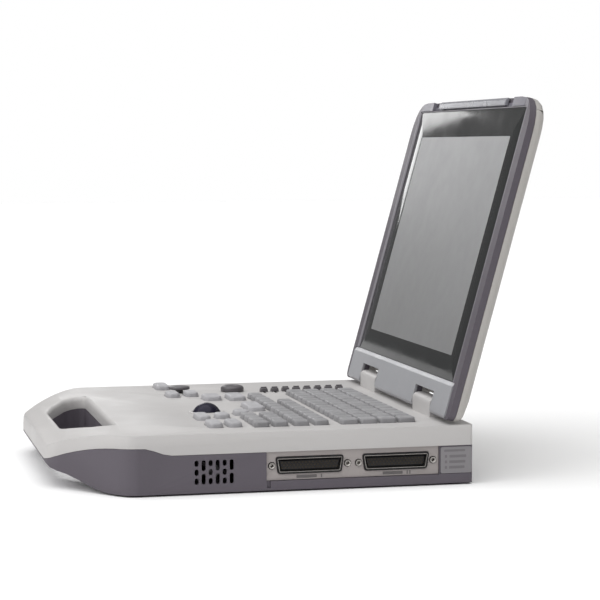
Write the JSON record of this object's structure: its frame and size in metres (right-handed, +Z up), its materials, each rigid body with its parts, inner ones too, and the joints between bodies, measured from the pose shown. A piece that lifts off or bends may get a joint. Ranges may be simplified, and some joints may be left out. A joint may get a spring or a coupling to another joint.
{
  "type": "portable ultrasound scanner",
  "caption": "Laptop-style veterinary ultrasound scanner with a tilting screen lid, keyboard, trackball, slider bank, side probe sockets and a carry-handle nose.",
  "frame": {"origin": "under the middle of the bounding box, on the table the feet stand on, lid open as stored", "axes": "+Z up, +Y from the handle nose towards the hinges and the back, +X to the side with the probe sockets"},
  "size_m": [0.3216, 0.3975, 0.3096],
  "materials": {
    "white_shell": "fine-textured white moulding",
    "lid_shell": "fine-textured warm white moulding",
    "grey_shell": "fine-textured purple-grey moulding",
    "silver_cover": "silver-grey satin moulding",
    "panel_grey": "warm grey textured plate",
    "latch_plastic": "pale lavender semi-gloss moulding",
    "key_silicone": "soft translucent grey silicone",
    "dark_plastic": "dark grey satin plastic",
    "black_plastic": "black glass-filled plastic",
    "black_rubber": "black rubber",
    "ball": "polished blue-black phenolic",
    "screen_glass": "clear cover glass with a printed dark border",
    "display": "liquid crystal panel, switched off",
    "steel": "nickel-plated steel",
    "circuit_board": "green solder resist",
    "label_film": "printed polyester film",
    "battery_wrap": "blue shrink wrap"
  },
  "bodies": {
    "base": {"top_case": "white_shell", "bottom_case": "grey_shell", "foot_front_right": "black_rubber", "foot_front_left": "black_rubber", "foot_rear_right": "black_rubber", "foot_rear_left": "black_rubber", "keyboard_mat": "key_silicone", "control_mat": "key_silicone", "trackball_ring": "white_shell", "trackball_cup": "black_plastic", "slider_bank": "black_plastic", "key_board": "circuit_board", "probe_panel": "panel_grey", "probe_socket_1": "black_plastic", "probe_socket_2": "black_plastic", "jack_screw_1": "steel", "jack_screw_2": "steel", "jack_screw_3": "steel", "jack_screw_4": "steel", "rating_label": "label_film", "fan_frame": "black_plastic", "main_board": "circuit_board", "battery_pack": "battery_wrap", "power_inlet": "black_plastic", "hinge_bracket_right": "steel", "hinge_bracket_left": "steel"},
    "lid": {"lid_bezel": "grey_shell", "lid_back_cover": "lid_shell", "hinge_cover": "silver_cover", "screen_glass": "screen_glass", "lcd_panel": "display", "latch_frame": "silver_cover", "hinge_shaft_right": "steel", "hinge_shaft_left": "steel"},
    "latch_bar": {"latch_bar": "latch_plastic"},
    "trackball": {"trackball": "ball"},
    "roller_along_x": {"roller_along_x": "steel"},
    "roller_along_y": {"roller_along_y": "steel"},
    "fan_rotor": {"fan_rotor": "dark_plastic"},
    "gain_knob": {"gain_knob": "dark_plastic"},
    "menu_knob": {"menu_knob": "dark_plastic"},
    "slider_knob_1": {"slider_knob_1": "dark_plastic"},
    "slider_knob_2": {"slider_knob_2": "dark_plastic"},
    "slider_knob_3": {"slider_knob_3": "dark_plastic"},
    "slider_knob_4": {"slider_knob_4": "dark_plastic"},
    "slider_knob_5": {"slider_knob_5": "dark_plastic"},
    "slider_knob_6": {"slider_knob_6": "dark_plastic"},
    "slider_knob_7": {"slider_knob_7": "dark_plastic"},
    "slider_knob_8": {"slider_knob_8": "dark_plastic"},
    "function_key_1": {"function_key_1": "key_silicone"},
    "function_key_2": {"function_key_2": "key_silicone"},
    "function_key_3": {"function_key_3": "key_silicone"},
    "function_key_4": {"function_key_4": "key_silicone"},
    "function_key_5": {"function_key_5": "key_silicone"},
    "function_key_6": {"function_key_6": "key_silicone"},
    "function_key_7": {"function_key_7": "key_silicone"},
    "function_key_8": {"function_key_8": "key_silicone"},
    "function_key_9": {"function_key_9": "key_silicone"},
    "function_key_10": {"function_key_10": "key_silicone"},
    "function_key_11": {"function_key_11": "key_silicone"}
  },
  "joints": [
    {"name": "lid_tilt", "type": "hinge", "parent": "base", "child": "lid", "pos_m": [0, 0.12079, 0.059], "axis": [1, 0, 0], "range_deg": [-29.5, 105.5]},
    {"name": "latch_press", "type": "slide", "parent": "lid", "child": "latch_bar", "axis": [0, -0.2672, -0.9636], "range_m": [0, 0.001], "stiffness_N_per_m": 300},
    {"name": "trackball_roll", "type": "hinge", "parent": "base", "child": "trackball", "pos_m": [0.02, -0.05591, 0.041], "axis": [1, 0, 0], "continuous": true},
    {"name": "roller_x_spin", "type": "hinge", "parent": "base", "child": "roller_along_x", "pos_m": [0.02, -0.07041, 0.041], "axis": [1, 0, 0], "continuous": true},
    {"name": "roller_y_spin", "type": "hinge", "parent": "base", "child": "roller_along_y", "pos_m": [0.0345, -0.05591, 0.041], "axis": [0, 1, 0], "continuous": true},
    {"name": "fan_spin", "type": "hinge", "parent": "base", "child": "fan_rotor", "pos_m": [0.1505, -0.07641, 0.0177], "axis": [1, 0, 0], "continuous": true},
    {"name": "slider_1_slide", "type": "slide", "parent": "base", "child": "slider_knob_1", "axis": [1, 0, 0], "range_m": [-0.008, 0.008]},
    {"name": "slider_2_slide", "type": "slide", "parent": "base", "child": "slider_knob_2", "axis": [1, 0, 0], "range_m": [-0.008, 0.008]},
    {"name": "slider_3_slide", "type": "slide", "parent": "base", "child": "slider_knob_3", "axis": [1, 0, 0], "range_m": [-0.008, 0.008]},
    {"name": "slider_4_slide", "type": "slide", "parent": "base", "child": "slider_knob_4", "axis": [1, 0, 0], "range_m": [-0.008, 0.008]},
    {"name": "slider_5_slide", "type": "slide", "parent": "base", "child": "slider_knob_5", "axis": [1, 0, 0], "range_m": [-0.008, 0.008]},
    {"name": "slider_6_slide", "type": "slide", "parent": "base", "child": "slider_knob_6", "axis": [1, 0, 0], "range_m": [-0.008, 0.008]},
    {"name": "slider_7_slide", "type": "slide", "parent": "base", "child": "slider_knob_7", "axis": [1, 0, 0], "range_m": [-0.008, 0.008]},
    {"name": "slider_8_slide", "type": "slide", "parent": "base", "child": "slider_knob_8", "axis": [1, 0, 0], "range_m": [-0.008, 0.008]},
    {"name": "gain_knob_turn", "type": "hinge", "parent": "base", "child": "gain_knob", "pos_m": [-0.099, -0.00991, 0.048], "axis": [0, 0, 1], "continuous": true},
    {"name": "menu_knob_turn", "type": "hinge", "parent": "base", "child": "menu_knob", "pos_m": [-0.1, -0.05851, 0.048], "axis": [0, 0, 1], "continuous": true},
    {"name": "key_1_press", "type": "slide", "parent": "base", "child": "function_key_1", "axis": [0, 0, -1], "range_m": [0, 0.0012], "stiffness_N_per_m": 400},
    {"name": "key_2_press", "type": "slide", "parent": "base", "child": "function_key_2", "axis": [0, 0, -1], "range_m": [0, 0.0012], "stiffness_N_per_m": 400},
    {"name": "key_3_press", "type": "slide", "parent": "base", "child": "function_key_3", "axis": [0, 0, -1], "range_m": [0, 0.0012], "stiffness_N_per_m": 400},
    {"name": "key_4_press", "type": "slide", "parent": "base", "child": "function_key_4", "axis": [0, 0, -1], "range_m": [0, 0.0012], "stiffness_N_per_m": 400},
    {"name": "key_5_press", "type": "slide", "parent": "base", "child": "function_key_5", "axis": [0, 0, -1], "range_m": [0, 0.0012], "stiffness_N_per_m": 400},
    {"name": "key_6_press", "type": "slide", "parent": "base", "child": "function_key_6", "axis": [0, 0, -1], "range_m": [0, 0.0012], "stiffness_N_per_m": 400},
    {"name": "key_7_press", "type": "slide", "parent": "base", "child": "function_key_7", "axis": [0, 0, -1], "range_m": [0, 0.0012], "stiffness_N_per_m": 400},
    {"name": "key_8_press", "type": "slide", "parent": "base", "child": "function_key_8", "axis": [0, 0, -1], "range_m": [0, 0.0012], "stiffness_N_per_m": 400},
    {"name": "key_9_press", "type": "slide", "parent": "base", "child": "function_key_9", "axis": [0, 0, -1], "range_m": [0, 0.0012], "stiffness_N_per_m": 400},
    {"name": "key_10_press", "type": "slide", "parent": "base", "child": "function_key_10", "axis": [0, 0, -1], "range_m": [0, 0.0012], "stiffness_N_per_m": 400},
    {"name": "key_11_press", "type": "slide", "parent": "base", "child": "function_key_11", "axis": [0, 0, -1], "range_m": [0, 0.0012], "stiffness_N_per_m": 400}
  ],
  "couplings": [
    {"joint": "roller_x_spin", "follows": "trackball_roll", "ratio": -8.4667}
  ]
}
